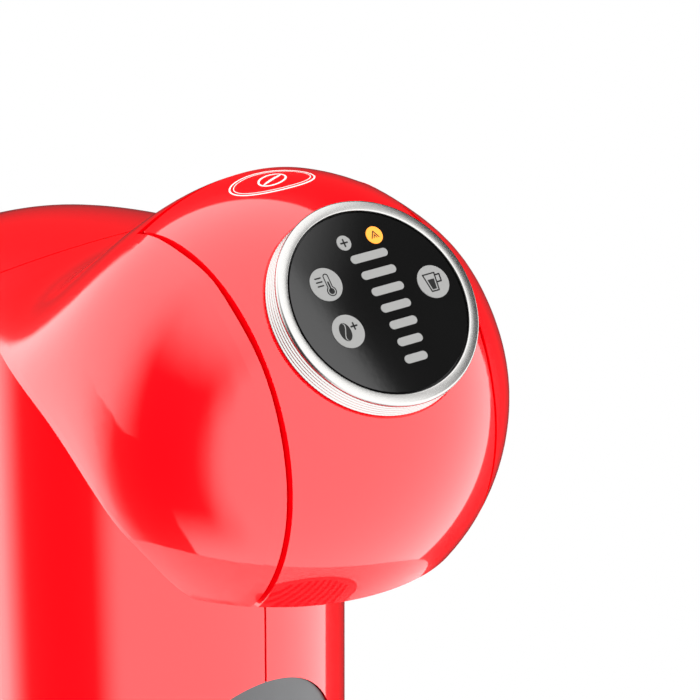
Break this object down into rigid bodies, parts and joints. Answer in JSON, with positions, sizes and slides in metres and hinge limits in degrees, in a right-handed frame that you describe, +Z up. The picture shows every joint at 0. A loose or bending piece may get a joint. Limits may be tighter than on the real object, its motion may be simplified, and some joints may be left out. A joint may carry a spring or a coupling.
{
  "type": "pod coffee machine",
  "caption": "Round-headed red pod coffee machine: hinged head cover with control panel and turning ring, capsule drawer, pillar, lift-out water tank and height-set drip tray.",
  "frame": {"origin": "on the standing surface, under the middle of the machine's bounding box", "axes": "+Z up, -Y towards the user at the head's side, +X to the right of someone facing the front"},
  "size_m": [0.113, 0.2876, 0.273],
  "materials": {
    "red_gloss": "gloss",
    "dark_plastic": "satin",
    "black_plastic": "satin",
    "ring_metal": "satin",
    "steel": "satin",
    "steel_body": "satin",
    "cast_aluminium": "matt",
    "rubber": "matt",
    "hose": "satin",
    "panel_glass": "gloss",
    "circuit_board": "satin",
    "white_plastic": "satin",
    "icon_grey": "satin",
    "lamp_amber": "lit",
    "smoked_clear": "gloss",
    "grid_grey": "satin"
  },
  "bodies": {
    "housing": {"hood": "red_gloss", "side_panel_left": "red_gloss", "side_panel_right": "red_gloss", "tray_guide_panel": "dark_plastic", "guide_backing": "dark_plastic", "tank_cradle": "dark_plastic", "tank_shelf": "dark_plastic", "tank_socket": "black_plastic", "socket_seal": "rubber", "base_plate": "dark_plastic", "rubber_feet": "rubber", "power_inlet": "black_plastic", "head_bottom_plate": "black_plastic", "head_frame": "black_plastic", "hinge_bracket": "steel", "cover_hinge_pin": "steel", "injector_plate": "steel_body", "injector_needle": "steel", "heating_block": "cast_aluminium", "thermal_fuse": "white_plastic", "pump": "steel_body", "pump_mount_lower": "rubber", "pump_mount_upper": "rubber", "pump_shelf": "black_plastic", "flow_meter": "white_plastic", "meter_stand": "black_plastic", "power_board": "circuit_board", "inlet_hose": "hose", "pressure_hose": "hose"},
    "cover": {"front_cover": "red_gloss", "panel_housing": "black_plastic", "panel_glass": "panel_glass", "display_board": "circuit_board", "light_diffuser": "white_plastic", "level_bars": "icon_grey", "temperature_icon": "icon_grey", "brew_icon": "icon_grey", "cup_icon": "icon_grey", "size_icon": "icon_grey", "ready_lamp": "lamp_amber"},
    "ring": {"selection_ring": "ring_metal", "ring_clip": "steel"},
    "drawer": {"capsule_holder": "black_plastic"},
    "tray": {"drip_tray": "dark_plastic", "tray_hook": "dark_plastic"},
    "grid": {"drip_grid": "grid_grey"},
    "tank": {"water_tank": "smoked_clear", "tank_valve": "black_plastic", "tank_filter": "steel", "lid_hinge_pin": "steel", "valve_spring": "steel"},
    "plunger": {"valve_plunger": "black_plastic"},
    "lid": {"tank_lid": "red_gloss"}
  },
  "joints": [
    {"name": "cover_hinge", "type": "hinge", "parent": "housing", "child": "cover", "pos_m": [0, -0.0491, 0.2636], "axis": [-1, 0, 0], "range_deg": [0, 60]},
    {"name": "ring_turn", "type": "hinge", "parent": "cover", "child": "ring", "pos_m": [0, -0.08823, 0.2517], "axis": [0, -0.7266, 0.6871], "continuous": true},
    {"name": "drawer_slide", "type": "slide", "parent": "housing", "child": "drawer", "axis": [0, -1, 0], "range_m": [0, 0.0445]},
    {"name": "tray_height", "type": "slide", "parent": "housing", "child": "tray", "axis": [0, 0, 1], "range_m": [0, 0.05]},
    {"name": "grid_lift", "type": "slide", "parent": "tray", "child": "grid", "axis": [0, 0, 1], "range_m": [0, 0.03]},
    {"name": "tank_lift", "type": "slide", "parent": "housing", "child": "tank", "axis": [0, 0, 1], "range_m": [0, 0.19]},
    {"name": "lid_hinge", "type": "hinge", "parent": "tank", "child": "lid", "pos_m": [0, 0.11272, 0.20615], "axis": [-1, 0, 0], "range_deg": [0, 75]},
    {"name": "valve_slide", "type": "slide", "parent": "tank", "child": "plunger", "axis": [0, 0, 1], "range_m": [0, 0.002], "stiffness_N_per_m": 150, "springref_m": -0.003, "deforming": ["valve_spring"]}
  ],
  "couplings": [
    {"joint": "drawer_slide", "follows": "cover_hinge", "m_per_rad": 0.042}
  ]
}
